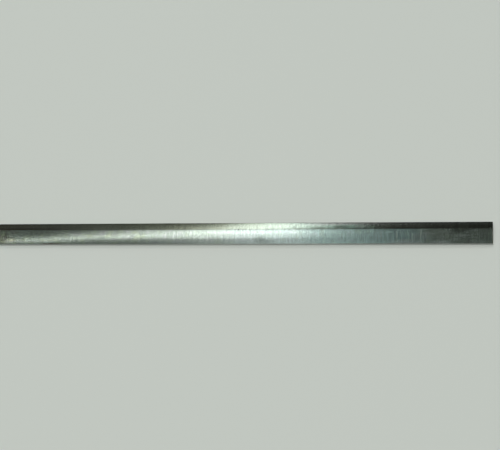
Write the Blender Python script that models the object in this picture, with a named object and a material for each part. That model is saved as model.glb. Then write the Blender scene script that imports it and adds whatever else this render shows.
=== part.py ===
"""A planer blade: one straight bar of hardened tool steel, ground all over, with a single cutting bevel.

The blade lies on its flat back, as it would on a bench. +X runs along its length, the cutting edge faces
+Y, the spine faces -Y, and the bevel falls from the ridge on the upper face down to the cutting edge. The
origin is the middle of the back. Lengths are in metres.

The blade is made in the order in which a grinder makes it: a bar of the finished cross-section, longer
than needed, is cut to its length with broken edges, and its corners are taken off. The small marks of a
blade that has been used come last.
"""

import math

import bmesh
import bpy
from mathutils import Matrix, Vector

# Driving dimensions of the blade
LENGTH = 0.610
WIDTH = 0.025
THICKNESS = 0.003
BEVEL_ANGLE = math.radians(20.5)  # between the back and the ground bevel
EDGE_LAND = 0.00005  # height of the flat that honing leaves at the tip of the wedge
SPINE_CHAMFER = 0.0003  # along both long edges of the spine
END_CHAMFER = 0.0002  # round the two end faces and at the corners of the spine

# Cutting corners, eased by an arc that meets the end and the edge at a small angle
LEFT_CORNER_RADIUS = 0.0015
RIGHT_CORNER_RADIUS = 0.0006
CORNER_ENTRY = math.radians(12.0)
CORNER_SEGMENTS = 6

# Marks of use: a nick in the ridge, and a long shallow scuff on the spine's upper edge
NICK_FROM_LEFT_END = 0.309
NICK_RADIUS = 0.0015
NICK_DEPTH = 0.00012
NICK_SEGMENTS = 24
SCUFF_FROM_LEFT_END = 0.070
SCUFF_LENGTH = 0.028
SCUFF_DEPTH = 0.00035
SCUFF_SEGMENTS = 16

# Modelling values
CUT_MARGIN = 0.004  # how far a cutter, and the bar before it is cut, reach past the finished blade
WELD_DISTANCE = 0.00001

# Colour of the ground steel
STEEL_COLOR = (0.40, 0.46, 0.43, 1.0)
STEEL_ROUGHNESS = 0.34

# Where the finished surfaces lie
HALF_LENGTH = LENGTH / 2
HALF_WIDTH = WIDTH / 2
BEVEL_RUN = (THICKNESS - EDGE_LAND) / math.tan(BEVEL_ANGLE)
RIDGE_Y = HALF_WIDTH - BEVEL_RUN

# Turns an outline drawn in local X and Y, so that its depth runs along the blade or across it
SECTION_TURN = Matrix(((0, 0, 1, 0), (1, 0, 0, 0), (0, 1, 0, 0), (0, 0, 0, 1)))
SIDE_TURN = Matrix(((1, 0, 0, 0), (0, 0, -1, 0), (0, 1, 0, 0), (0, 0, 0, 1)))


def clear_scene():
    for existing in list(bpy.data.objects):
        bpy.data.objects.remove(existing, do_unlink=True)


def new_collection(name):
    collection = bpy.data.collections.new(name)
    bpy.context.scene.collection.children.link(collection)
    return collection


def prism(name, outline, half_depth, placement, collection):
    """A closed solid: the flat outline, extruded by half_depth to both sides of its plane, then placed."""
    curve = bpy.data.curves.new(name, "CURVE")
    curve.dimensions = "2D"
    curve.fill_mode = "BOTH"
    curve.extrude = half_depth
    spline = curve.splines.new("POLY")
    spline.points.add(len(outline) - 1)
    for point, (x, y) in zip(spline.points, outline):
        point.co = (x, y, 0.0, 1.0)
    spline.use_cyclic_u = True
    drawn = bpy.data.objects.new(name + "_outline", curve)
    drawn.matrix_world = placement
    collection.objects.link(drawn)
    bpy.context.view_layer.update()

    mesh = bpy.data.meshes.new_from_object(drawn.evaluated_get(bpy.context.evaluated_depsgraph_get()))
    weld_caps(mesh)
    solid = bpy.data.objects.new(name, mesh)
    solid.matrix_world = drawn.matrix_world
    collection.objects.link(solid)
    bpy.data.objects.remove(drawn, do_unlink=True)
    return solid


def weld_caps(mesh):
    work = bmesh.new()
    work.from_mesh(mesh)
    bmesh.ops.remove_doubles(work, verts=work.verts, dist=WELD_DISTANCE)
    bmesh.ops.recalc_face_normals(work, faces=work.faces)
    work.to_mesh(mesh)
    work.free()


def section_outline():
    """The finished cross-section, seen from the right-hand end: local X is the blade's Y, local Y its Z."""
    spine = -HALF_WIDTH
    return [
        (spine + SPINE_CHAMFER, 0.0),
        (HALF_WIDTH, 0.0),
        (HALF_WIDTH, EDGE_LAND),
        (RIDGE_Y, THICKNESS),
        (spine + SPINE_CHAMFER, THICKNESS),
        (spine, THICKNESS - SPINE_CHAMFER),
        (spine, SPINE_CHAMFER),
    ]


def side_outline():
    """The blade's length with its broken end edges, seen from the spine. It reaches past face and back."""
    end = HALF_LENGTH
    inner = HALF_LENGTH - END_CHAMFER - CUT_MARGIN
    low, high = END_CHAMFER, THICKNESS - END_CHAMFER
    below, above = -CUT_MARGIN, THICKNESS + CUT_MARGIN
    right = [(inner, below), (end, low), (end, high), (inner, above)]
    left = [(-x, z) for x, z in reversed(right)]
    return right + left


def eased_corner(radius):
    """Half of the plan outline's cutting side, from past the right-hand end to past the cutting edge."""
    inset = radius * math.cos(CORNER_ENTRY)
    centre_x, centre_y = HALF_LENGTH - inset, HALF_WIDTH - inset
    points = [(HALF_LENGTH + CUT_MARGIN, centre_y)]
    for step in range(CORNER_SEGMENTS + 1):
        turn = math.pi / 2 * step / CORNER_SEGMENTS
        points.append((centre_x + radius * math.cos(turn), centre_y + radius * math.sin(turn)))
    points.append((centre_x, HALF_WIDTH + CUT_MARGIN))
    return points


def plan_outline():
    """The four corners as seen from above. Between them the outline stays clear of the blade."""
    across, out = END_CHAMFER + CUT_MARGIN, CUT_MARGIN
    spine_corner = [(HALF_LENGTH - across, -HALF_WIDTH - out), (HALF_LENGTH + out, -HALF_WIDTH + across)]
    right = spine_corner + eased_corner(RIGHT_CORNER_RADIUS)
    left = spine_corner + eased_corner(LEFT_CORNER_RADIUS)
    return right + [(-x, y) for x, y in reversed(left)]


def scuff_outline():
    """A shallow arc that dips SCUFF_DEPTH below the local X axis over SCUFF_LENGTH, closed well above it."""
    half = SCUFF_LENGTH / 2
    radius = (half**2 + SCUFF_DEPTH**2) / (2 * SCUFF_DEPTH)
    reach = math.asin((half + CUT_MARGIN) / radius)
    points = []
    for step in range(SCUFF_SEGMENTS + 1):
        turn = reach * (2 * step / SCUFF_SEGMENTS - 1)
        points.append((radius * math.sin(turn), radius * (1 - math.cos(turn)) - SCUFF_DEPTH))
    return points + [(half + CUT_MARGIN, CUT_MARGIN), (-half - CUT_MARGIN, CUT_MARGIN)]


def scuff_placement():
    """Puts the arc's plane at 45 degrees, with its local Y pointing out of the spine's upper chamfer."""
    along = Vector((1, 0, 0))
    outward = Vector((0, -1, 1)).normalized()
    axis = along.cross(outward)
    turn = Matrix((along, outward, axis)).transposed().to_4x4()
    middle_y = -HALF_WIDTH + SPINE_CHAMFER / 2
    middle_z = THICKNESS - SPINE_CHAMFER / 2
    return Matrix.Translation((SCUFF_FROM_LEFT_END - HALF_LENGTH, middle_y, middle_z)) @ turn


def nick_ball(collection):
    """A ball that dips NICK_DEPTH into the ridge."""
    mesh = bpy.data.meshes.new("ridge_nick_cut")
    work = bmesh.new()
    bmesh.ops.create_uvsphere(work, u_segments=NICK_SEGMENTS, v_segments=NICK_SEGMENTS // 2, radius=NICK_RADIUS)
    work.to_mesh(mesh)
    work.free()
    ball = bpy.data.objects.new("ridge_nick_cut", mesh)
    outward = Vector((0, math.sin(BEVEL_ANGLE / 2), math.cos(BEVEL_ANGLE / 2)))
    ridge_point = Vector((NICK_FROM_LEFT_END - HALF_LENGTH, RIDGE_Y, THICKNESS))
    ball.location = ridge_point + outward * (NICK_RADIUS - NICK_DEPTH)
    collection.objects.link(ball)
    return ball


def cut(target, cutter, operation):
    """Shapes the target with the cutter, which is kept as a guide and isn't part of the model."""
    cutter.hide_render = True
    cutter.display_type = "WIRE"
    modifier = target.modifiers.new(cutter.name, "BOOLEAN")
    modifier.operation = operation
    modifier.solver = "EXACT"
    modifier.object = cutter


def ground_steel():
    material = bpy.data.materials.new("ground_steel")
    material.diffuse_color = STEEL_COLOR
    material.use_nodes = True
    shader = material.node_tree.nodes["Principled BSDF"]
    shader.inputs["Base Color"].default_value = STEEL_COLOR
    shader.inputs["Metallic"].default_value = 1.0
    shader.inputs["Roughness"].default_value = STEEL_ROUGHNESS
    return material


def make_blade(parts, cutters):
    blade = prism("planer_blade", section_outline(), HALF_LENGTH + CUT_MARGIN, SECTION_TURN, parts)
    side = prism("length_cut", side_outline(), HALF_WIDTH + CUT_MARGIN, SIDE_TURN, cutters)
    mid_height = Matrix.Translation((0, 0, THICKNESS / 2))
    plan = prism("corner_cut", plan_outline(), THICKNESS / 2 + CUT_MARGIN, mid_height, cutters)
    scuff = prism("spine_scuff_cut", scuff_outline(), THICKNESS, scuff_placement(), cutters)
    cut(blade, side, "INTERSECT")
    cut(blade, plan, "INTERSECT")
    cut(blade, scuff, "DIFFERENCE")
    cut(blade, nick_ball(cutters), "DIFFERENCE")
    blade.data.materials.append(ground_steel())
    return blade


clear_scene()
make_blade(new_collection("planer_blade"), new_collection("grinding_cuts"))
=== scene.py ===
# %% [markdown]
# # A planer blade in ground steel
#
# The real thing is a bar of tool steel, 610 mm long, 25 mm wide and 3 mm thick. It has one long bevel
# along its cutting edge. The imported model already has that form, and this notebook gives it its looks.
#
# Everything here is in metres. X runs along the blade, Y points from the spine to the cutting edge, and
# Z points up out of the face that the bevel is ground from.

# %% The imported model
import math

import bmesh
import bpy
from mathutils import Matrix, Vector


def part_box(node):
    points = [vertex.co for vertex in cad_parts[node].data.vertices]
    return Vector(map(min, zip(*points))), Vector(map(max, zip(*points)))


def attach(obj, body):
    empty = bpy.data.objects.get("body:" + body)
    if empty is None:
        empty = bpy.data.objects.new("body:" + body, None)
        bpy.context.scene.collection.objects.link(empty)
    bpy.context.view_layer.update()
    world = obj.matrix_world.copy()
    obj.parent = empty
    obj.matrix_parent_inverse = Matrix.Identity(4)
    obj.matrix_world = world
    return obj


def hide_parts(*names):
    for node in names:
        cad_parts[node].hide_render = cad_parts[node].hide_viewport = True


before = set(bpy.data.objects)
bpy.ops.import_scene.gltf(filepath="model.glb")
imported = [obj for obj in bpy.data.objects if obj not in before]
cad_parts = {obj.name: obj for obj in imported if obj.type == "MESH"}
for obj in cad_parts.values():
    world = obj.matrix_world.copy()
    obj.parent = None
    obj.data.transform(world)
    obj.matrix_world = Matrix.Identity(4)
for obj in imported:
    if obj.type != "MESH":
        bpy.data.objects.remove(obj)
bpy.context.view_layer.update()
lowest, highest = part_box("planer_blade")
LENGTH, WIDTH, THICKNESS = (high - low for low, high in zip(lowest, highest))
print(f"blade {LENGTH * 1000:.1f} x {WIDTH * 1000:.1f} x {THICKNESS * 1000:.1f} mm")

# %% [markdown]
# ## A bar and a grinder
#
# Brushed metal needs a surface that knows which way its scratches run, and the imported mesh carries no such
# map. So the blade is made once more, in the same form, with small rounded edges and its own map.
#
# The section could be drawn as an outline and extruded. Here the bar is cut the way a grinder cuts it: it
# starts as a plain block, and each flat is one pass that takes off all the steel beyond a plane. In Blender
# such a pass is a bisect with the outer side cleared, and the hole it leaves is filled with one new face.

# %% A bar of steel and one pass of the grinder
HALF_LENGTH = LENGTH / 2
HALF_WIDTH = WIDTH / 2
ON_THE_PLANE = 1e-8  # a point this close to a cutting plane counts as lying on it
SAME_PLACE = 1e-6  # two lengths that differ by less count as equal


def grind(steel, point, outward):
    """Takes off all the steel on the outer side of a plane, and closes the flat that this leaves."""
    everything = steel.verts[:] + steel.edges[:] + steel.faces[:]
    cut = bmesh.ops.bisect_plane(
        steel, geom=everything, dist=ON_THE_PLANE, plane_co=point, plane_no=outward, clear_outer=True
    )
    rim = [item for item in cut["geom_cut"] if isinstance(item, bmesh.types.BMEdge)]
    bmesh.ops.holes_fill(steel, edges=rim, sides=0)


steel = bmesh.new()
block = Matrix.Translation((0, 0, THICKNESS / 2)) @ Matrix.Diagonal((LENGTH, WIDTH, THICKNESS, 1))
bmesh.ops.create_cube(steel, size=1.0, matrix=block)
print("block:", len(steel.faces), "faces")

# %% [markdown]
# ## The cutting bevel
#
# The bevel meets the back at a small angle. A honed edge isn't perfectly sharp, so the bevel stops
# 0.05 mm above the back and leaves a thin land. The line where the bevel meets the face, the ridge, is
# sharp to the eye, but on steel it is always a little round, and that tiny round catches the light.

# %% Bevel and ridge
BEVEL_ANGLE = math.radians(20.5)
EDGE_LAND = 0.00005
RIDGE_ROUND = 0.00001
RIDGE_STEPS = 3

BEVEL_RUN = (THICKNESS - EDGE_LAND) / math.tan(BEVEL_ANGLE)
RIDGE_Y = HALF_WIDTH - BEVEL_RUN
BEVEL_NORMAL = Vector((0, math.sin(BEVEL_ANGLE), math.cos(BEVEL_ANGLE)))


def edges_along_x(steel, y, z):
    """The edges that run the length of the bar at this height and distance from the middle."""
    return [
        edge
        for edge in steel.edges
        if all(
            abs(vert.co.y - y) < SAME_PLACE and abs(vert.co.z - z) < SAME_PLACE for vert in edge.verts
        )
    ]


def ease(steel, edges, width, steps):
    """Rounds edges over, as a stone or a wheel does. One step gives a flat chamfer."""
    bmesh.ops.bevel(
        steel, geom=edges, offset=width, affect="EDGES", segments=steps, profile=0.5, material=-1
    )


grind(steel, (0, HALF_WIDTH, EDGE_LAND), BEVEL_NORMAL)
ease(steel, edges_along_x(steel, RIDGE_Y, THICKNESS), RIDGE_ROUND, RIDGE_STEPS)
print(f"bevel {BEVEL_RUN * 1000:.2f} mm wide, ridge {RIDGE_Y * 1000:.2f} mm from the middle")

# %% [markdown]
# ## The spine and the ends
#
# The spine is the straight side that sits against the setting screws. Its two long edges are broken by
# 0.3 mm, so that the blade can be handled, and the ends are broken by 0.2 mm. A bevel with one segment
# makes the spine's chamfers. The ends get theirs from slanting passes of the grinder, because a pass cuts
# face, bevel and back in one go, whatever angle they stand at.

# %% Spine chamfers, end chamfers and corners
SPINE_CHAMFER = 0.0003
END_CHAMFER = 0.0002
LEFT_CORNER_RADIUS = 0.0015
RIGHT_CORNER_RADIUS = 0.0006
CORNER_ENTRY = math.radians(12.0)
CORNER_STEPS = 6


def ease_cutting_corner(steel, side, radius):
    """Rounds the corner of the cutting edge at one end with a fan of upright passes."""
    inset = radius * math.cos(CORNER_ENTRY)
    centre = Vector((side * (HALF_LENGTH - inset), HALF_WIDTH - inset, 0))
    reach = radius * math.cos(math.pi / 4 / CORNER_STEPS)
    for step in range(CORNER_STEPS):
        turn = math.pi / 2 * (step + 0.5) / CORNER_STEPS
        outward = Vector((side * math.cos(turn), math.sin(turn), 0))
        grind(steel, centre + outward * reach, outward)


spine_edges = edges_along_x(steel, -HALF_WIDTH, 0) + edges_along_x(steel, -HALF_WIDTH, THICKNESS)
ease(steel, spine_edges, SPINE_CHAMFER, 1)
for side in (-1, 1):
    end = side * HALF_LENGTH
    grind(steel, (end, 0, END_CHAMFER), Vector((side, 0, -1)))
    grind(steel, (end, 0, THICKNESS - END_CHAMFER), Vector((side, 0, 1)))
    grind(steel, (end, -HALF_WIDTH + END_CHAMFER, 0), Vector((side, -1, 0)))
ease_cutting_corner(steel, -1, LEFT_CORNER_RADIUS)
ease_cutting_corner(steel, 1, RIGHT_CORNER_RADIUS)
print("ground bar:", len(steel.faces), "faces")

# %% [markdown]
# ## Marks of use in the metal
#
# A blade that has been in a machine carries knocks. This one has a long shallow scuff on the spine's upper
# edge and a small nick in the ridge. They could be cut out with a boolean. Moving a few points of the mesh
# is lighter, so the bar first gets cross lines where the marks lie: a bisect that clears nothing only
# scores a line through the faces. Then each point inside a mark is pushed in.
#
# The scuff comes first. It is an arc of large radius that dips 0.35 mm into the spine's upper chamfer. The
# chamfer stands at 45 degrees, so its one long edge moves over the face and its other one down the spine,
# each by the depth times the square root of two.

# %% The scuff on the spine
SCUFF_X = 0.070 - HALF_LENGTH
SCUFF_LENGTH = 0.028
SCUFF_DEPTH = 0.00035
SCUFF_STEPS = 28


def score(steel, point, across):
    """Divides every face that a plane crosses, and takes nothing away."""
    everything = steel.verts[:] + steel.edges[:] + steel.faces[:]
    bmesh.ops.bisect_plane(steel, geom=everything, dist=ON_THE_PLANE, plane_co=point, plane_no=across)


def scuff_depth(x):
    """How deep the arc dips into the chamfer at this place along the blade."""
    half = SCUFF_LENGTH / 2
    radius = (half**2 + SCUFF_DEPTH**2) / (2 * SCUFF_DEPTH)
    away = min(abs(x - SCUFF_X), half)
    return max(math.sqrt(radius**2 - away**2) - (radius - SCUFF_DEPTH), 0.0)


for line in range(SCUFF_STEPS + 1):
    score(steel, (SCUFF_X + SCUFF_LENGTH * (line / SCUFF_STEPS - 0.5), 0, 0), Vector((1, 0, 0)))

for vert in steel.verts:
    depth = scuff_depth(vert.co.x) * math.sqrt(2)
    on_spine_top = vert.co.y < -HALF_WIDTH + 2 * SPINE_CHAMFER and vert.co.z > THICKNESS / 2
    if depth > 0 and on_spine_top:
        if vert.co.z > THICKNESS - SAME_PLACE:
            vert.co.y += depth
        else:
            vert.co.z -= depth

print(f"scuff {SCUFF_LENGTH * 1000:.0f} mm long at x {SCUFF_X * 1000:.0f} mm")

# %% [markdown]
# ## The nick in the ridge
#
# Something hard has struck the ridge near its middle. The dent is round and only 0.12 mm deep. A fine net
# of lines is scored over the place, and each point that lies inside an imagined ball is moved out to its
# surface, as if the ball had been pressed in.

# %% Press in the nick
NICK_X = 0.309 - HALF_LENGTH
NICK_RADIUS = 0.0015
NICK_DEPTH = 0.00012
NICK_REACH = 0.0008
NICK_LINES = 16

nick_outward = Vector((0, math.sin(BEVEL_ANGLE / 2), math.cos(BEVEL_ANGLE / 2)))
nick_centre = Vector((NICK_X, RIDGE_Y, THICKNESS)) + nick_outward * (NICK_RADIUS - NICK_DEPTH)

for line in range(NICK_LINES + 1):
    offset = NICK_REACH * (2 * line / NICK_LINES - 1)
    score(steel, (NICK_X + offset, 0, 0), Vector((1, 0, 0)))
    score(steel, (0, RIDGE_Y + offset, 0), Vector((0, 1, 0)))

dented = 0
for vert in steel.verts:
    from_centre = vert.co - nick_centre
    if from_centre.length < NICK_RADIUS and vert.co.z > THICKNESS / 2:
        vert.co = nick_centre + from_centre.normalized() * NICK_RADIUS
        dented += 1

print("nick:", dented, "points moved")

# %% [markdown]
# ## A map that knows the grinding direction
#
# The marks of a surface grinder run across this blade, from the edge to the spine. Steel scratched like
# that throws light out sideways, along the blade. The shader needs to be told which way that is, and it
# takes the direction from a UV map: U is laid along the blade and V across it. On the two ends, U runs
# across instead, because they were ground on edge.

# %% Lay out the map
SPAN = 0.7  # metres of steel that the whole map stands for
MAP_CENTRE = 0.5
END_ROW, SPINE_ROW, TOP_ROW, BACK_ROW = 0.1, 0.2, 0.4, 0.7  # heights of the four strips on the map
END_FACING, SPINE_FACING = 0.6, 0.8  # how far a face looks that way, where 1 is straight at it
WELD = 1e-7

marks_map = steel.loops.layers.uv.new("grinding_direction")
for face in steel.faces:
    looks_along = abs(face.normal.x) > END_FACING
    looks_across = abs(face.normal.y) > SPINE_FACING
    for loop in face.loops:
        x, y, z = loop.vert.co
        if looks_along:
            loop[marks_map].uv = (MAP_CENTRE + y / SPAN, END_ROW + z / SPAN)
        elif looks_across:
            loop[marks_map].uv = (MAP_CENTRE + x / SPAN, SPINE_ROW + z / SPAN)
        else:
            row = TOP_ROW if face.normal.z > 0 else BACK_ROW
            loop[marks_map].uv = (MAP_CENTRE + x / SPAN, row + y / SPAN)

bmesh.ops.remove_doubles(steel, verts=steel.verts, dist=WELD)
bmesh.ops.recalc_face_normals(steel, faces=steel.faces)
open_edges = [edge for edge in steel.edges if not edge.is_manifold]
print("open edges:", len(open_edges), "volume:", round(steel.calc_volume() * 1e9), "cubic mm")

# %% [markdown]
# ## Four finishes on one piece
#
# The face and the back come off the surface grinder, the bevel is ground and then honed, and spine and
# ends are left coarser. Face and back have lived different lives since, so each has a finish of its own.
# The mesh gets four material slots, and each of its faces is put into one of them by the direction it
# looks in. The nick is bruised metal that no wheel has touched since, and the round of the ridge is worn,
# so both get the dull finish of the spine.

# %% Sort the faces into finishes
FACE_SLOT, BEVEL_SLOT, RIM_SLOT, BACK_SLOT = range(4)
SAME_WAY = 0.999  # cosine above which two directions count as the same

for face in steel.faces:
    if all((vert.co - nick_centre).length < NICK_RADIUS + RIDGE_ROUND for vert in face.verts):
        face.material_index = RIM_SLOT
    elif face.normal.dot(BEVEL_NORMAL) > SAME_WAY:
        face.material_index = BEVEL_SLOT
    elif face.normal.z > SAME_WAY:
        face.material_index = FACE_SLOT
    elif face.normal.z < -SAME_WAY:
        face.material_index = BACK_SLOT
    else:
        face.material_index = RIM_SLOT

blade_mesh = bpy.data.meshes.new("ground_blade")
steel.to_mesh(blade_mesh)
steel.free()
blade = bpy.data.objects.new("ground_blade", blade_mesh)
bpy.context.scene.collection.objects.link(blade)
counts = [sum(polygon.material_index == slot for polygon in blade_mesh.polygons) for slot in range(4)]
print("faces by finish (face, bevel, rim, back):", counts)

# %% [markdown]
# ## Small helpers for shader nodes
#
# A material is a chain of small sums. These helpers make one node each and plug it in, so that the cells
# below can say what is worked out rather than how nodes are wired.

# %% Node helpers


def feed(tree, socket, value):
    """Plugs a link into a socket, or sets its plain value."""
    if isinstance(value, bpy.types.NodeSocket):
        tree.links.new(value, socket)
    else:
        socket.default_value = value


def calc(tree, operation, *values):
    """One sum. Each of its values may be a link or a plain number."""
    node = tree.nodes.new("ShaderNodeMath")
    node.operation = operation
    for socket, value in zip(node.inputs, values):
        feed(tree, socket, value)
    return node.outputs["Value"]


def split(tree, position):
    """Takes a place apart. The result holds its X, Y and Z by name."""
    node = tree.nodes.new("ShaderNodeSeparateXYZ")
    feed(tree, node.inputs["Vector"], position)
    return node.outputs


def fade(tree, value, low, high, to_low=0.0, to_high=1.0):
    """Runs smoothly from one value to another between two limits, and stays level outside them."""
    node = tree.nodes.new("ShaderNodeMapRange")
    node.interpolation_type = "SMOOTHSTEP"
    for name, number in (
        ("Value", value),
        ("From Min", low),
        ("From Max", high),
        ("To Min", to_low),
        ("To Max", to_high),
    ):
        feed(tree, node.inputs[name], number)
    return node.outputs["Result"]


def fade_straight(tree, value, low, high):
    """The place of a value between two limits, from 0 to 1, in a straight line."""
    node = tree.nodes.new("ShaderNodeMapRange")
    feed(tree, node.inputs["Value"], value)
    node.inputs["From Min"].default_value = low
    node.inputs["From Max"].default_value = high
    return node.outputs["Result"]


def near(tree, value, centre, reach, soft):
    """A mask that is 1 within reach of a value and fades out over the soft distance."""
    away = calc(tree, "ABSOLUTE", calc(tree, "SUBTRACT", value, centre))
    return fade(tree, away, reach, reach + soft, 1.0, 0.0)


def noise(tree, position, size, detail=2.0):
    """Cloudy noise whose features have the given size in metres along X, Y and Z."""
    mapping = tree.nodes.new("ShaderNodeMapping")
    feed(tree, mapping.inputs["Vector"], position)
    mapping.inputs["Scale"].default_value = tuple(1 / length for length in size)
    texture = tree.nodes.new("ShaderNodeTexNoise")
    feed(tree, texture.inputs["Vector"], mapping.outputs["Vector"])
    texture.inputs["Scale"].default_value = 1.0
    texture.inputs["Detail"].default_value = detail
    return texture.outputs["Fac"]


def blend_colours(tree, share, first, second):
    """The first colour, covered by the second as far as the share says."""
    node = tree.nodes.new("ShaderNodeMix")
    node.data_type = "RGBA"
    feed(tree, node.inputs["Factor"], share)
    feed(tree, node.inputs["A"], first)
    feed(tree, node.inputs["B"], second)
    return node.outputs["Result"]


def new_group(name, inputs, outputs):
    """An empty node group with float or vector inputs and float outputs."""
    group = bpy.data.node_groups.new(name, "ShaderNodeTree")
    for label, kind, value in inputs:
        socket = group.interface.new_socket(label, in_out="INPUT", socket_type="NodeSocket" + kind)
        if value is not None:
            socket.default_value = value
    for label in outputs:
        group.interface.new_socket(label, in_out="OUTPUT", socket_type="NodeSocketFloat")
    entry = group.nodes.new("NodeGroupInput")
    leave = group.nodes.new("NodeGroupOutput")
    return group, entry.outputs, leave.inputs


def place_group(tree, group, **values):
    """Puts a group into a material with its own values. Underscores stand for spaces in input names."""
    node = tree.nodes.new("ShaderNodeGroup")
    node.node_tree = group
    for name, value in values.items():
        feed(tree, node.inputs[name.replace("_", " ")], value)
    return node.outputs


# %% [markdown]
# ## Grinding marks
#
# A grinding wheel leaves thousands of fine parallel furrows. Modelling them would take millions of faces.
# A noise that is squeezed along the blade and drawn out across it gives the same lines. Three sizes are
# mixed. The fine ones give most of the shade. The wider ones, and the broad bands where the wheel was
# dressed again, give most of the height, so that reflections waver.
#
# The group gives a height for the bump and a shade around 1 that makes some furrows darker than others.
# The furrows are also crossed by a fine grain, because each one breaks off where a grit left the steel.

# %% The grinding_marks group
FINE_FURROW = (0.0009, 0.012, 0.012)
MIDDLE_FURROW = (0.0034, 0.020, 0.020)
BROAD_BAND = (0.0120, 0.030, 0.030)
GRIT_GRAIN = (0.0013, 0.0013, 0.0013)
MIDDLE_DEPTH, BROAD_DEPTH = 0.8, 3.0  # in depths of a fine furrow
FINE_SHADE, MIDDLE_SHADE, BROAD_SHADE, GRAIN_SHADE = 1.0, 0.10, 0.12, 0.90
NOISE_LOW, NOISE_HIGH = 0.32, 0.68  # most of a noise lies between these

grinding_marks, given, result = new_group(
    "grinding_marks",
    [("Position", "Vector", None), ("Depth", "Float", 0.000001), ("Contrast", "Float", 0.1)],
    ["Height", "Shade"],
)
fine = noise(grinding_marks, given["Position"], FINE_FURROW, 1.0)
middle = noise(grinding_marks, given["Position"], MIDDLE_FURROW, 2.0)
broad = noise(grinding_marks, given["Position"], BROAD_BAND, 2.0)
grain = noise(grinding_marks, given["Position"], GRIT_GRAIN, 1.0)
furrows = calc(grinding_marks, "MULTIPLY", broad, BROAD_DEPTH)
furrows = calc(grinding_marks, "MULTIPLY_ADD", middle, MIDDLE_DEPTH, furrows)
furrows = calc(grinding_marks, "ADD", fine, furrows)
height = calc(grinding_marks, "MULTIPLY", furrows, given["Depth"])
fine_shade = fade(grinding_marks, fine, NOISE_LOW, NOISE_HIGH, -FINE_SHADE, FINE_SHADE)
middle_shade = fade(grinding_marks, middle, NOISE_LOW, NOISE_HIGH, -MIDDLE_SHADE, MIDDLE_SHADE)
broad_shade = fade(grinding_marks, broad, 0.35, 0.65, -BROAD_SHADE, BROAD_SHADE)
grain_shade = fade(grinding_marks, grain, NOISE_LOW, NOISE_HIGH, -GRAIN_SHADE, GRAIN_SHADE)
shade = calc(grinding_marks, "ADD", fine_shade, middle_shade)
shade = calc(grinding_marks, "ADD", shade, broad_shade)
shade = calc(grinding_marks, "ADD", shade, grain_shade)
shade = calc(grinding_marks, "MULTIPLY_ADD", shade, given["Contrast"], 1.0)
grinding_marks.links.new(height, result["Height"])
grinding_marks.links.new(shade, result["Shade"])
print("group:", grinding_marks.name)

# %% [markdown]
# ## Not quite flat
#
# A blade this long and thin is never truly flat. It is a few hundredths of a millimetre higher in the
# middle of its width, and it twists a little along its length. The eye can't see that, but a reflection
# shows it at once, because it slides across the steel and bends. The height below is the crown plus a slow
# twist. It could be modelled, but as bump it stays out of the blade's measured form.

# %% The uneven_flat group
SLOW_TWIST = (0.09, 10.0, 10.0)

uneven_flat, given, result = new_group(
    "uneven_flat",
    [
        ("Position", "Vector", None),
        ("Middle", "Float", 0.0),
        ("Crown", "Float", 1.0),
        ("Twist", "Float", 0.0),
    ],
    ["Height"],
)
across = split(uneven_flat, given["Position"])["Y"]
from_middle = calc(uneven_flat, "SUBTRACT", across, given["Middle"])
square = calc(uneven_flat, "MULTIPLY", from_middle, from_middle)
crown = calc(uneven_flat, "MULTIPLY", calc(uneven_flat, "MULTIPLY", square, -0.5), given["Crown"])
slow = noise(uneven_flat, given["Position"], SLOW_TWIST, 1.0)
lean = calc(uneven_flat, "MULTIPLY", calc(uneven_flat, "SUBTRACT", slow, 0.5), given["Twist"])
twist = calc(uneven_flat, "MULTIPLY", lean, from_middle)
uneven_flat.links.new(calc(uneven_flat, "ADD", crown, twist), result["Height"])
print("group:", uneven_flat.name)

# %% [markdown]
# ## Tarnish
#
# Old oil and damp hands leave olive and brown clouds on steel, thicker towards one end of this blade. Two
# noises do it: a slow one says where the clouds lie, and a fine one frays their borders into specks.

# %% The tarnish group
CLOUD_SIZE = (0.016, 0.007, 0.007)
SPECK_SIZE = (0.0012, 0.0012, 0.0012)
SPECK_SHARE = 0.35
NO_CLOUDS, COVER_RANGE = 1.05, 0.6  # the noise level where clouds begin, and how far cover lowers it
CLOUD_BORDER = 0.25

tarnish, given, result = new_group(
    "tarnish",
    [("Position", "Vector", None), ("Cover", "Float", 0.5)],
    ["Mask"],
)
clouds = noise(tarnish, given["Position"], CLOUD_SIZE, 3.0)
specks = noise(tarnish, given["Position"], SPECK_SIZE, 2.0)
frayed = calc(tarnish, "MULTIPLY_ADD", specks, SPECK_SHARE, clouds)
border = calc(tarnish, "SUBTRACT", NO_CLOUDS, calc(tarnish, "MULTIPLY", given["Cover"], COVER_RANGE))
mask = fade(tarnish, frayed, border, calc(tarnish, "ADD", border, CLOUD_BORDER))
tarnish.links.new(mask, result["Mask"])
print("group:", tarnish.name)

# %% [markdown]
# ## A film of oil
#
# Oil that has almost dried is thinner than a wavelength of light, and such a film splits light into faint
# colours, as a soap bubble does. On this blade it shows as patches of lilac and of yellow green in the
# bright streak. One cloudy noise is enough: its high places turn lilac and its low places turn green.

# %% The oil_film group
PATCH_SIZE = (0.0075, 0.0060, 0.0060)

oil_film, given, result = new_group(
    "oil_film",
    [("Position", "Vector", None), ("Strength", "Float", 0.25)],
    ["Lilac", "Green"],
)
film_depth = noise(oil_film, given["Position"], PATCH_SIZE, 2.0)
thick = fade(oil_film, film_depth, 0.53, 0.68)
thin = fade(oil_film, film_depth, 0.32, 0.47, 1.0, 0.0)
lilac = calc(oil_film, "MULTIPLY", thick, given["Strength"])
green = calc(oil_film, "MULTIPLY", thin, given["Strength"])
oil_film.links.new(lilac, result["Lilac"])
oil_film.links.new(green, result["Green"])
print("group:", oil_film.name)

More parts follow.
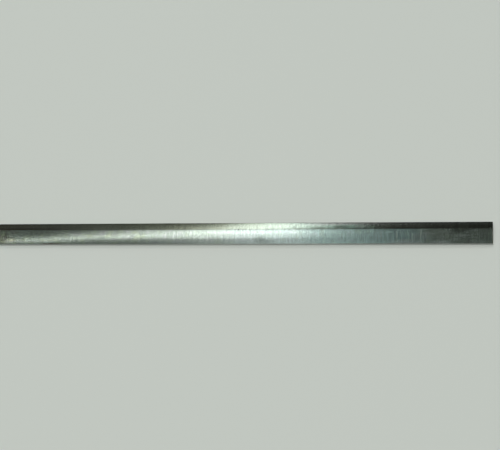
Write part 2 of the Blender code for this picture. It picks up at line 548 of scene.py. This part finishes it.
# %% [markdown]
# ## Single scratches, smudges, and ovals of painted shade and highlight
#
# A few marks stand apart from the grinding: bright scratches across the blade, and smudges where a thumb
# or a drop of oil has been. A few more of the same ovals are painted shade and painted highlight. All of
# them are ovals. A scratch is a very slim one, and a smudge is a broad one with a frayed border. The group
# measures how far a point is from the middle of the oval, counted in its own half sizes, and a little noise
# on that distance frays the border along the grinding lines.

# %% The single_mark group
RAGGED_SIZE = (0.0020, 0.0030, 0.0030)
FULL_STRENGTH = 0.25  # share of the oval, counted from its middle, that the mark covers fully

single_mark, given, result = new_group(
    "single_mark",
    [
        ("Position", "Vector", None),
        ("Along", "Float", 0.0),
        ("Across", "Float", 0.0),
        ("Reach Along", "Float", 0.004),
        ("Reach Across", "Float", 0.004),
        ("Fray", "Float", 0.0),
    ],
    ["Mask"],
)
place = split(single_mark, given["Position"])
along = calc(single_mark, "SUBTRACT", place["X"], given["Along"])
along = calc(single_mark, "DIVIDE", along, given["Reach Along"])
across = calc(single_mark, "SUBTRACT", place["Y"], given["Across"])
across = calc(single_mark, "DIVIDE", across, given["Reach Across"])
squares = calc(single_mark, "MULTIPLY_ADD", along, along, calc(single_mark, "MULTIPLY", across, across))
ragged = noise(single_mark, given["Position"], RAGGED_SIZE, 3.0)
ragged = calc(single_mark, "MULTIPLY", calc(single_mark, "SUBTRACT", ragged, 0.5), given["Fray"])
distance = calc(single_mark, "ADD", calc(single_mark, "SQRT", squares), ragged)
mask = fade(single_mark, distance, FULL_STRENGTH, 1.0, 1.0, 0.0)
single_mark.links.new(mask, result["Mask"])
print("group:", single_mark.name)

# %% [markdown]
# ## Ground steel
#
# All four finishes are bare steel, so they start and end in the same way. Each is a fully metallic shader
# whose colour is the colour of its reflections. Its roughness is low across the blade and several times
# higher along it, which is what parallel furrows do to light, and the shader calls that anisotropy.

# %% Start and finish of a steel
FURROW_DEPTH = 0.000004  # metres, for the fine furrows of a surface grinder


def start_steel(name, anisotropy):
    """A metallic material that follows the grinding direction. Returns its tree and its position output."""
    material = bpy.data.materials.new(name)
    material.use_nodes = True
    tree = material.node_tree
    shader = tree.nodes["Principled BSDF"]
    shader.inputs["Metallic"].default_value = 1.0
    shader.inputs["Anisotropic"].default_value = anisotropy
    tangent = tree.nodes.new("ShaderNodeTangent")
    tangent.direction_type = "UV_MAP"
    tangent.uv_map = "grinding_direction"
    tree.links.new(tangent.outputs["Tangent"], shader.inputs["Tangent"])
    position = tree.nodes.new("ShaderNodeTexCoord").outputs["Object"]
    blade_mesh.materials.append(material)
    return tree, position


def finish_steel(tree, colour, shade, roughness, height):
    """Darkens the colour by the furrows' shade and plugs colour, roughness and bump into the shader."""
    shader = tree.nodes["Principled BSDF"]
    shaded = tree.nodes.new("ShaderNodeMix")
    shaded.data_type = "RGBA"
    shaded.blend_type = "MULTIPLY"
    shaded.inputs["Factor"].default_value = 1.0
    feed(tree, shaded.inputs["A"], colour)
    feed(tree, shaded.inputs["B"], shade)
    tree.links.new(shaded.outputs["Result"], shader.inputs["Base Color"])
    tree.links.new(roughness, shader.inputs["Roughness"])
    bump = tree.nodes.new("ShaderNodeBump")
    bump.inputs["Strength"].default_value = 1.0
    bump.inputs["Distance"].default_value = 1.0
    feed(tree, bump.inputs["Height"], height)
    tree.links.new(bump.outputs["Normal"], shader.inputs["Normal"])


# %% [markdown]
# ## A tint that changes along the blade
#
# Steel with old oil on it isn't one grey. This blade is a greenish white at one end, has a blue-green film
# beyond its middle, and ends dull and olive. A colour ramp that reads the place along the blade gives such
# a tint. A little noise is added to the place first, so that no border runs straight.

# %% Tint along the blade
TINT_WANDER = 0.04  # metres over which a border between two tints may stray
WANDER_SIZE = (0.02, 0.006, 0.006)


def tint_along(tree, position, stops):
    """A colour ramp over the blade's length. Each stop is a place in millimetres and a colour."""
    x = split(tree, position)["X"]
    wander = noise(tree, position, WANDER_SIZE, 2.0)
    shifted = calc(tree, "SUBTRACT", x, TINT_WANDER / 2)
    shifted = calc(tree, "MULTIPLY_ADD", wander, TINT_WANDER, shifted)
    share = fade_straight(tree, shifted, -HALF_LENGTH, HALF_LENGTH)
    ramp = tree.nodes.new("ShaderNodeValToRGB")
    ramp.color_ramp.interpolation = "EASE"
    tree.links.new(share, ramp.inputs["Fac"])
    elements = ramp.color_ramp.elements
    while len(elements) < len(stops):
        elements.new(0.5)
    for element, (millimetres, colour) in zip(elements, stops):
        element.position = millimetres / 1000 / LENGTH + 0.5
        element.color = colour + (1.0,)
    return ramp.outputs["Color"]


# %% [markdown]
# ## The single marks, one by one
#
# Each mark below is a place along and across the blade, its two half sizes, how frayed it is, and the
# colour and strength with which it lies on the steel. All sizes are in millimetres. The helper lays a
# whole list of them over a colour, one after the other.

# %% Lay single marks over a colour
OLIVE_STAIN = (0.24, 0.25, 0.17)
# this dark colour serves real smears, and also painted shade on the face, along the ridge and at the cutting
# edge
DARK_SMEAR_AND_SHADE = (0.13, 0.15, 0.12)
PALE_PATCH = (0.66, 0.67, 0.52)
# this pale colour serves scratches and bright marks, and also a painted highlight along the face's
# spine-side border
FRESH_STEEL_AND_SHEEN = (0.70, 0.76, 0.74)


def lay_marks(tree, position, colour, marks_in_mm):
    """Covers a colour with each mark of a list in turn."""
    for along, across, reach_along, reach_across, fray, hue, strength in marks_in_mm:
        mark = place_group(
            tree,
            single_mark,
            Position=position,
            Along=along / 1000,
            Across=across / 1000,
            Reach_Along=reach_along / 1000,
            Reach_Across=reach_across / 1000,
            Fray=fray,
        )
        share = calc(tree, "MULTIPLY", mark["Mask"], strength)
        colour = blend_colours(tree, share, colour, hue + (1.0,))
    return colour


# %% [markdown]
# ## The face
#
# The face is the broad flat band that the photograph shows best. It has fine furrows, olive stains and a
# pale patch at its left end, a dull smudge near the middle, a few bright scratches and, towards its right
# end, faint wiping marks that run along the blade. The wiping marks are one more noise, drawn out the
# other way. The furrows show most towards both ends, where less oil has filled them, so their contrast
# rises there.

# %% Face of the blade
FACE_MIDDLE = (RIDGE_Y - HALF_WIDTH) / 2
FACE_TINTS = [
    (-305, (0.44, 0.48, 0.40)),
    (-272, (0.48, 0.55, 0.49)),
    (-150, (0.475, 0.54, 0.48)),
    (-80, (0.465, 0.535, 0.48)),
    (-45, (0.50, 0.575, 0.52)),
    (20, (0.50, 0.585, 0.56)),
    (62, (0.53, 0.64, 0.61)),
    (110, (0.42, 0.56, 0.53)),
    (200, (0.42, 0.57, 0.55)),
    (245, (0.39, 0.45, 0.40)),
    (305, (0.37, 0.42, 0.37)),
]
FACE_MARKS = [
    (-295, -2.0, 3.0, 7.0, 1.2, DARK_SMEAR_AND_SHADE, 0.34),
    (-287, -7.5, 6.0, 3.2, 0.9, PALE_PATCH, 0.50),
    (-300, -9.0, 5.0, 3.0, 1.2, OLIVE_STAIN, 0.45),
    (-282, 2.0, 7.0, 3.0, 1.4, OLIVE_STAIN, 0.35),
    (-275, -7.0, 9.0, 4.5, 1.2, OLIVE_STAIN, 0.22),
    # painted shade: the next two long dark ovals darken the face above the bright streak at its left end
    (-222, 4.4, 84.0, 5.4, 0.7, DARK_SMEAR_AND_SHADE, 0.42),
    (-252, -0.4, 42.0, 5.2, 0.5, DARK_SMEAR_AND_SHADE, 0.42),
    (31, -6.6, 10.0, 5.4, 1.4, DARK_SMEAR_AND_SHADE, 0.32),
    (37, -9.8, 16.0, 3.6, 1.3, DARK_SMEAR_AND_SHADE, 0.28),
    (72, 1.5, 7.0, 3.4, 1.4, FRESH_STEEL_AND_SHEEN, 0.35),
    (176, -2.4, 0.8, 6.5, 0.2, FRESH_STEEL_AND_SHEEN, 0.55),
    (194.8, -2.4, 0.8, 7.5, 0.2, FRESH_STEEL_AND_SHEEN, 0.60),
    (222.8, 1.0, 0.8, 9.0, 0.2, FRESH_STEEL_AND_SHEEN, 0.55),
    (214, -1.5, 9.0, 1.6, 1.2, FRESH_STEEL_AND_SHEEN, 0.22),
    (222, -4.5, 16.0, 5.0, 1.4, FRESH_STEEL_AND_SHEEN, 0.18),
    (262, 1.6, 13.0, 5.0, 0.8, DARK_SMEAR_AND_SHADE, 0.32),
    (268, -3.4, 12.0, 1.8, 1.4, FRESH_STEEL_AND_SHEEN, 0.20),
    # painted highlight: the next three long pale ovals lighten the face along its spine-side border near the
    # right end
    (208, -10.8, 30.0, 4.4, 1.2, FRESH_STEEL_AND_SHEEN, 0.55),
    (248, -11.4, 18.0, 4.0, 1.0, FRESH_STEEL_AND_SHEEN, 0.85),
    (290, -10.6, 22.0, 3.6, 1.2, FRESH_STEEL_AND_SHEEN, 0.30),
    (270, 2.8, 15.0, 4.6, 1.4, DARK_SMEAR_AND_SHADE, 0.62),
    (-85, -9.8, 70.0, 4.2, 1.2, FRESH_STEEL_AND_SHEEN, 0.38),
    # a dark spot painted where the nick lies
    (4.0, 4.2, 1.3, 1.2, 0.3, DARK_SMEAR_AND_SHADE, 0.50),
]
LILAC_FILM = (0.62, 0.57, 0.66, 1.0)
GREEN_FILM = (0.52, 0.60, 0.36, 1.0)
LEFT_CONTRAST, MIDDLE_CONTRAST, RIGHT_CONTRAST = 0.13, 0.08, 0.15
FACE_CROWN, FACE_TWIST = 2.6, 0.004
FACE_STAIN = 0.45
FACE_ROUGHNESS, FACE_STAIN_ROUGHNESS = 0.135, 0.02
WIPE_SIZE = (0.014, 0.0016, 0.0016)
WIPED_X, WIPED_REACH, WIPED_FADE = 0.256, 0.026, 0.030
WIPED_STRENGTH = 0.40

tree, position = start_steel("surface_ground_face", anisotropy=1.0)
place = split(tree, position)
left_furrows = fade(tree, place["X"], -0.160, -0.100, LEFT_CONTRAST, MIDDLE_CONTRAST)
right_furrows = fade(tree, place["X"], 0.060, 0.260, MIDDLE_CONTRAST, RIGHT_CONTRAST)
contrast = calc(tree, "MAXIMUM", left_furrows, right_furrows)
marks = place_group(tree, grinding_marks, Position=position, Depth=FURROW_DEPTH, Contrast=contrast)
flat = place_group(
    tree, uneven_flat, Position=position, Middle=FACE_MIDDLE, Crown=FACE_CROWN, Twist=FACE_TWIST
)

left_end = fade(tree, place["X"], -0.300, -0.265, 0.75, 0.35)
stains = place_group(tree, tarnish, Position=position, Cover=left_end)
stained = calc(tree, "MULTIPLY", stains["Mask"], FACE_STAIN)
colour = tint_along(tree, position, FACE_TINTS)
colour = blend_colours(tree, stained, colour, OLIVE_STAIN + (1.0,))
oiled = fade(tree, place["X"], -0.150, 0.020, 0.24, 0.10)
film = place_group(tree, oil_film, Position=position, Strength=oiled)
colour = blend_colours(tree, film["Lilac"], colour, LILAC_FILM)
colour = blend_colours(tree, film["Green"], colour, GREEN_FILM)

wiped = fade(tree, noise(tree, position, WIPE_SIZE, 2.0), 0.50, 0.68)
wiped = calc(tree, "MULTIPLY", wiped, near(tree, place["X"], WIPED_X, WIPED_REACH, WIPED_FADE))
wiped = calc(tree, "MULTIPLY", wiped, WIPED_STRENGTH)
colour = blend_colours(tree, wiped, colour, FRESH_STEEL_AND_SHEEN + (1.0,))
colour = lay_marks(tree, position, colour, FACE_MARKS)

rough = calc(tree, "MULTIPLY_ADD", stains["Mask"], FACE_STAIN_ROUGHNESS, FACE_ROUGHNESS)
finish_steel(tree, colour, marks["Shade"], rough, calc(tree, "ADD", marks["Height"], flat["Height"]))
print("face:", len(tree.nodes), "nodes")

# %% [markdown]
# ## The bevel
#
# The bevel was ground like the face and then honed, so its shine is tighter. Its furrows show most on the
# right half, where it is darkest. On the right half a thin band along the cutting edge is painted lighter.
# The very edge carries a dark hairline of painted shade, and a thin broken dark line of painted shade runs
# along the other border, at the ridge. All three are masks on the distance across the blade.

# %% Bevel of the blade
BEVEL_MIDDLE = (RIDGE_Y + HALF_WIDTH) / 2
BEVEL_TINTS = [
    (-305, (0.51, 0.51, 0.45)),
    (-240, (0.53, 0.56, 0.50)),
    (-165, (0.64, 0.70, 0.60)),
    (-110, (0.55, 0.62, 0.49)),
    (-70, (0.50, 0.55, 0.43)),
    (-28, (0.43, 0.48, 0.39)),
    (12, (0.50, 0.575, 0.49)),
    (56, (0.53, 0.63, 0.55)),
    (90, (0.46, 0.58, 0.51)),
    (140, (0.39, 0.56, 0.48)),
    (185, (0.32, 0.375, 0.32)),
    (240, (0.39, 0.43, 0.37)),
    (305, (0.40, 0.44, 0.37)),
]
BEVEL_MARKS = [
    # painted shade: this oval and the ones at 198 and 240 mm darken the bevel along the ridge
    (-268, 5.8, 62.0, 2.6, 0.8, DARK_SMEAR_AND_SHADE, 0.38),
    (100, 6.6, 14.0, 1.8, 1.4, DARK_SMEAR_AND_SHADE, 0.35),
    (72, 7.2, 5.0, 2.2, 1.4, DARK_SMEAR_AND_SHADE, 0.14),
    (207, 9.0, 5.0, 1.6, 1.2, FRESH_STEEL_AND_SHEEN, 0.22),
    (222.8, 8.5, 0.8, 6.0, 0.2, FRESH_STEEL_AND_SHEEN, 0.55),
    (128, 7.0, 12.0, 3.4, 1.0, DARK_SMEAR_AND_SHADE, 0.42),
    (154, 7.4, 11.0, 3.2, 1.0, FRESH_STEEL_AND_SHEEN, 0.40),
    (198, 5.8, 34.0, 2.4, 1.2, DARK_SMEAR_AND_SHADE, 0.50),
    (240, 5.6, 30.0, 2.0, 1.2, DARK_SMEAR_AND_SHADE, 0.35),
]
EDGE_BAND_COLOUR = (0.84, 0.90, 0.88, 1.0)
EDGE_BAND_WIDTH = 0.0010
EDGE_BAND_FADE = 0.0036
# size and strength of the painted shade hairline at the cutting edge
EDGE_SHADE_WIDTH = 0.0003
EDGE_SHADE_FADE = 0.0001
EDGE_SHADE_STRENGTH = 0.85
# width and breaks of the painted shade line along the ridge
RIDGE_SHADE_WIDTH = 0.0006
RIDGE_SHADE_BREAKS = (0.012, 0.003, 0.003)
PLAIN_CONTRAST, STRONG_CONTRAST = 0.09, 0.22
BEVEL_CROWN, BEVEL_TWIST = 4.0, 0.012
BEVEL_COVER, BEVEL_STAIN = 0.35, 0.4
BEVEL_ROUGHNESS, BEVEL_STAIN_ROUGHNESS = 0.100, 0.015

tree, position = start_steel("honed_bevel", anisotropy=1.0)
place = split(tree, position)
contrast = fade(tree, place["X"], 0.040, 0.190, PLAIN_CONTRAST, STRONG_CONTRAST)
marks = place_group(tree, grinding_marks, Position=position, Depth=FURROW_DEPTH, Contrast=contrast)
flat = place_group(
    tree, uneven_flat, Position=position, Middle=BEVEL_MIDDLE, Crown=BEVEL_CROWN, Twist=BEVEL_TWIST
)
stains = place_group(tree, tarnish, Position=position, Cover=BEVEL_COVER)
stained = calc(tree, "MULTIPLY", stains["Mask"], BEVEL_STAIN)
colour = tint_along(tree, position, BEVEL_TINTS)
colour = blend_colours(tree, stained, colour, OLIVE_STAIN + (1.0,))
colour = lay_marks(tree, position, colour, BEVEL_MARKS)

# painted shade: a thin broken dark line along the ridge
broken = fade(tree, noise(tree, position, RIDGE_SHADE_BREAKS, 2.0), 0.35, 0.60, 0.10, 0.40)
ridge_shade = near(tree, place["Y"], RIDGE_Y, RIDGE_SHADE_WIDTH, RIDGE_SHADE_WIDTH)
colour = blend_colours(tree, calc(tree, "MULTIPLY", ridge_shade, broken), colour, DARK_SMEAR_AND_SHADE + (1.0,))

# a thin band along the cutting edge, painted lighter on the right half
at_edge = near(tree, place["Y"], HALF_WIDTH, EDGE_BAND_WIDTH, EDGE_BAND_FADE)
edge_band = calc(tree, "MULTIPLY", at_edge, fade(tree, place["X"], 0.060, 0.130))
colour = blend_colours(tree, edge_band, colour, EDGE_BAND_COLOUR)
# painted shade: a dark hairline along the very cutting edge
edge_shade = near(tree, place["Y"], HALF_WIDTH, EDGE_SHADE_WIDTH, EDGE_SHADE_FADE)
edge_shade = calc(tree, "MULTIPLY", edge_shade, EDGE_SHADE_STRENGTH)
colour = blend_colours(tree, edge_shade, colour, DARK_SMEAR_AND_SHADE + (1.0,))
rough = calc(tree, "MULTIPLY_ADD", stains["Mask"], BEVEL_STAIN_ROUGHNESS, BEVEL_ROUGHNESS)
finish_steel(tree, colour, marks["Shade"], rough, calc(tree, "ADD", marks["Height"], flat["Height"]))
print("bevel:", len(tree.nodes), "nodes")

# %% [markdown]
# ## Spine and ends
#
# These are the sides nobody sharpens. They are darker and duller than the face, most of all towards the
# ends. Their tint also holds painted light: the lighter stretch between about 10 and 100 mm is a painted
# highlight on the spine's chamfer, and the darkest tint, at the right end, is painted shade. Round the
# scuff the steel is dark brown, and a mask round the scuff's place along the blade brings in the brown.
# The nick shares this finish, and a second mask darkens it.

# %% Spine, ends and broken edges
# the lighter stops at 10 and 100 mm are a painted highlight on the spine's chamfer, and the darkest stop, at
# the right end, is painted shade
RIM_TINTS_AND_PAINTED_LIGHT = [
    (-305, (0.24, 0.26, 0.23)),
    (-120, (0.28, 0.31, 0.28)),
    (10, (0.46, 0.50, 0.46)),
    (100, (0.48, 0.53, 0.50)),
    (180, (0.23, 0.25, 0.23)),
    (305, (0.15, 0.16, 0.14)),
]
RIM_STAIN = (0.17, 0.14, 0.10, 1.0)
SCUFF_BROWN = (0.085, 0.062, 0.040, 1.0)
NICK_DARK_TONE = (0.15, 0.19, 0.21, 1.0)
BROWN_REACH, BROWN_FADE = 0.010, 0.006
RIM_COVER, RIM_STAIN_STRENGTH = 0.8, 0.5
RIM_ROUGHNESS, RIM_STAIN_ROUGHNESS, NICK_ROUGHNESS = 0.34, 0.10, 0.30

tree, position = start_steel("spine_and_ends", anisotropy=0.5)
place = split(tree, position)
marks = place_group(tree, grinding_marks, Position=position, Depth=2 * FURROW_DEPTH, Contrast=0.10)
stains = place_group(tree, tarnish, Position=position, Cover=RIM_COVER)
stained = calc(tree, "MULTIPLY", stains["Mask"], RIM_STAIN_STRENGTH)
colour = tint_along(tree, position, RIM_TINTS_AND_PAINTED_LIGHT)
colour = blend_colours(tree, stained, colour, RIM_STAIN)
brown = near(tree, place["X"], SCUFF_X, BROWN_REACH, BROWN_FADE)
colour = blend_colours(tree, brown, colour, SCUFF_BROWN)
# the nick is painted darker
in_nick = near(tree, place["X"], NICK_X, NICK_REACH, NICK_REACH)
in_nick = calc(tree, "MULTIPLY", in_nick, near(tree, place["Y"], RIDGE_Y, NICK_REACH, NICK_REACH))
colour = blend_colours(tree, in_nick, colour, NICK_DARK_TONE)
rough = calc(tree, "MULTIPLY_ADD", stains["Mask"], RIM_STAIN_ROUGHNESS, RIM_ROUGHNESS)
rough = calc(tree, "MULTIPLY_ADD", in_nick, NICK_ROUGHNESS, rough)
finish_steel(tree, colour, marks["Shade"], rough, marks["Height"])
print("spine and ends:", len(tree.nodes), "nodes")

# %% [markdown]
# ## The back
#
# The back is the side that the blade lies on, so the photograph doesn't show it. On a real blade it is one
# flat over the whole width, ground like the face, and it is rubbed a little brighter where the cutter
# block carries it. It gets the same furrows, thin tarnish and one long rubbed zone, and no marks of its own
# that would be made up.

# %% Back of the blade
BACK_TINTS = [
    (-305, (0.42, 0.46, 0.40)),
    (-240, (0.46, 0.52, 0.46)),
    (60, (0.47, 0.54, 0.50)),
    (240, (0.44, 0.50, 0.46)),
    (305, (0.40, 0.45, 0.40)),
]
RUBBED_HALF_WIDTH = 0.005
RUBBED_STRENGTH = 0.25
BACK_COVER, BACK_STAIN = 0.5, 0.5
BACK_ROUGHNESS, BACK_STAIN_ROUGHNESS = 0.150, 0.04

tree, position = start_steel("surface_ground_back", anisotropy=1.0)
place = split(tree, position)
marks = place_group(tree, grinding_marks, Position=position, Depth=FURROW_DEPTH, Contrast=0.12)
stains = place_group(tree, tarnish, Position=position, Cover=BACK_COVER)
stained = calc(tree, "MULTIPLY", stains["Mask"], BACK_STAIN)
colour = tint_along(tree, position, BACK_TINTS)
colour = blend_colours(tree, stained, colour, OLIVE_STAIN + (1.0,))
rubbed = near(tree, place["Y"], 0.0, RUBBED_HALF_WIDTH, RUBBED_HALF_WIDTH)
rubbed = calc(tree, "MULTIPLY", rubbed, RUBBED_STRENGTH)
colour = blend_colours(tree, rubbed, colour, FRESH_STEEL_AND_SHEEN + (1.0,))
rough = calc(tree, "MULTIPLY_ADD", stains["Mask"], BACK_STAIN_ROUGHNESS, BACK_ROUGHNESS)
finish_steel(tree, colour, marks["Shade"], rough, marks["Height"])
print("materials:", [material.name for material in blade_mesh.materials])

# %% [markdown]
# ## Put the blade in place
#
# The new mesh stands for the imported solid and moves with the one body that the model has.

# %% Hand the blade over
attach(blade, "root")
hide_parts("planer_blade")

# %% [markdown]
# ## Floor
#
# The blade lies on its back on a plain pale table. The floor is one large plane just under it, so that the
# blade casts its thin shadow on something.

# %% A pale floor
FLOOR_SIZE = 24.0
TABLE_COLOUR = (0.586, 0.611, 0.581, 1.0)

sheet = bmesh.new()
bmesh.ops.create_grid(sheet, x_segments=1, y_segments=1, size=FLOOR_SIZE / 2)
floor_mesh = bpy.data.meshes.new("floor")
sheet.to_mesh(floor_mesh)
sheet.free()
floor = bpy.data.objects.new("floor", floor_mesh)
bpy.context.scene.collection.objects.link(floor)
pale = bpy.data.materials.new("pale_table")
pale.use_nodes = True
pale_shader = pale.node_tree.nodes["Principled BSDF"]
pale_shader.inputs["Base Color"].default_value = TABLE_COLOUR
pale_shader.inputs["Roughness"].default_value = 0.9
pale_shader.inputs["Specular IOR Level"].default_value = 0.2
floor_mesh.materials.append(pale)

# %% [markdown]
# ## The room
#
# Polished steel has hardly any colour of its own: it shows the room. A room that is white all over would
# make the blade look like paper. So the walls here are pale up to a third of the way to the zenith, where
# they run into the table without a seam, and one darker region hangs above them, on the side that the
# bevel looks towards. That is what a photographer's black card does for cutlery.

# %% A pale room with a dark card
DARK_SIDE = Vector((-0.10, 0.60, 0.79)).normalized()
PALE_WALL = (0.57, 0.60, 0.57, 1.0)
WALL_TOP = 0.30
CARD_BOTTOM = 0.58
CARD_BEGINS, CARD_CORE = 0.62, 0.99  # cosines of the angle from the dark side's middle
CORE_DARK = (0.018, 0.020, 0.017, 1.0)

world = bpy.data.worlds.new("room")
bpy.context.scene.world = world
world.use_nodes = True
room = world.node_tree
sky = room.nodes["Background"]
direction = room.nodes.new("ShaderNodeTexCoord").outputs["Generated"]
towards = room.nodes.new("ShaderNodeVectorMath")
towards.operation = "DOT_PRODUCT"
feed(room, towards.inputs[0], direction)
towards.inputs[1].default_value = DARK_SIDE
ramp = room.nodes.new("ShaderNodeValToRGB")
ramp.color_ramp.interpolation = "EASE"
card = ramp.color_ramp
card.elements[0].position = CARD_BEGINS
card.elements[0].color = PALE_WALL
card.elements[1].position = CARD_CORE
card.elements[1].color = CORE_DARK
for cosine, grey in (
    (0.72, (0.11, 0.135, 0.12, 1.0)),
    (0.76, (0.082, 0.100, 0.090, 1.0)),
    (0.82, (0.075, 0.088, 0.080, 1.0)),
    (0.94, (0.050, 0.052, 0.043, 1.0)),
):
    card.elements.new(cosine).color = grey
room.links.new(towards.outputs["Value"], ramp.inputs["Fac"])
above_wall = fade(room, split(room, direction)["Z"], WALL_TOP, CARD_BOTTOM)
seen = blend_colours(room, above_wall, PALE_WALL, ramp.outputs["Color"])
room.links.new(seen, sky.inputs["Color"])
sky.inputs["Strength"].default_value = 1.0

# %% [markdown]
# ## Lamps
#
# Two kinds of lamp do the rest. Two far windows on the bevel's side light the table evenly, one high and
# one low, so that the shadow behind the spine is dark close to the steel and fades out. They are made as
# sun lamps, whose light doesn't weaken with distance.

# %% Two far windows


def far_window(name, sideways, tilt, spread, strength, colour):
    """Even light from one side. Tilt counts from straight above towards the bevel's side."""
    light = bpy.data.lights.new(name, "SUN")
    light.energy = strength
    light.angle = math.radians(spread)
    light.color = colour
    upwards = math.cos(math.radians(tilt))
    source = Vector((sideways, math.sin(math.radians(tilt)), upwards)).normalized()
    lamp = bpy.data.objects.new(name, light)
    lamp.matrix_world = source.to_track_quat("Z", "Y").to_matrix().to_4x4()
    bpy.context.scene.collection.objects.link(lamp)
    print(f"{name}: {light.energy:.2f} W per square metre")


DAYLIGHT = (1.0, 1.0, 0.99)

far_window("window_high", -0.18, 31.0, 13.0, 1.395, DAYLIGHT)
far_window("window_low", -0.16, 60.0, 12.0, 0.84, DAYLIGHT)

# %% [markdown]
# ## Strips to be seen in the steel
#
# The lights that a person notices on a blade are the ones that it mirrors. Five long thin lamps hang a
# metre above it. Four lie where the face looks and together make a streak that starts narrow at the left
# end and widens into a broad glow. One lies where the bevel looks. Each is turned a little, so that its
# reflection crosses the steel at a slant.

# %% The strips


def strip_lamp(name, start, end, width, radiance, colour):
    """A long thin lamp between two points that shines down on the blade."""
    start, end = Vector(start), Vector(end)
    middle = (start + end) / 2
    along = (end - start).normalized()
    down = (Vector((0, 0, 0)) - middle).normalized()
    across = along.cross(down).normalized()
    back = along.cross(across).normalized()
    light = bpy.data.lights.new(name, "AREA")
    light.shape = "RECTANGLE"
    light.size, light.size_y = (end - start).length, width
    light.energy = radiance * math.pi * light.size * light.size_y
    light.color = colour
    lamp = bpy.data.objects.new(name, light)
    lamp.matrix_world = Matrix.Translation(middle) @ Matrix((along, across, back)).transposed().to_4x4()
    bpy.context.scene.collection.objects.link(lamp)
    print(f"{name}: {light.energy:.2f} W")


strip_lamp("face_strip", (-0.77, -0.009, 1.0), (-0.419, 0.060, 1.0), 0.010, 3.6, (1.0, 1.0, 0.97))
strip_lamp("face_band", (-0.49, 0.052, 1.0), (-0.153, 0.064, 1.0), 0.068, 1.1, (1.0, 1.0, 0.97))
strip_lamp("face_band_bright", (-0.374, 0.073, 1.0), (-0.148, 0.081, 1.0), 0.034, 1.4, (1.0, 1.0, 0.98))
strip_lamp("face_glow", (-0.243, -0.082, 1.0), (-0.117, 0.057, 1.0), 0.243, 0.62, (1.0, 1.0, 1.0))
strip_lamp("bevel_strip", (-0.425, 0.77, 1.0), (-0.262, 1.025, 1.0), 0.12, 2.4, (1.0, 1.0, 0.97))

# %% [markdown]
# ## Camera
#
# The blade is seen from above, from beyond its right-hand end, with a long lens. The place and the tilt
# were worked out from the outline of the blade in the photograph, so that its length, width and narrowing
# all fall where they should.

# %% The camera
CAMERA_PLACE = (0.5059, -0.0778, 1.8127)
CAMERA_TILT = tuple(math.radians(angle) for angle in (2.80, 15.06, 0.46))
FIELD_OF_VIEW = math.radians(18.0)
SENSOR_WIDTH = 36.0

camera_data = bpy.data.cameras.new("camera")
camera_data.sensor_width = SENSOR_WIDTH
camera_data.lens = SENSOR_WIDTH / 2 / math.tan(FIELD_OF_VIEW / 2)
camera_data.clip_start = 0.01
camera_data.clip_end = 100.0
camera = bpy.data.objects.new("camera", camera_data)
camera.location = CAMERA_PLACE
camera.rotation_euler = CAMERA_TILT
bpy.context.scene.collection.objects.link(camera)
bpy.context.scene.camera = camera
print(f"lens {camera_data.lens:.1f} mm")

# %% [markdown]
# ## Plain colours
#
# Blender can bend bright colours, as film does. The Standard view leaves them alone, so a colour renders
# about as it is written above.

# %% Colour and closing
bpy.context.scene.view_settings.view_transform = "Standard"
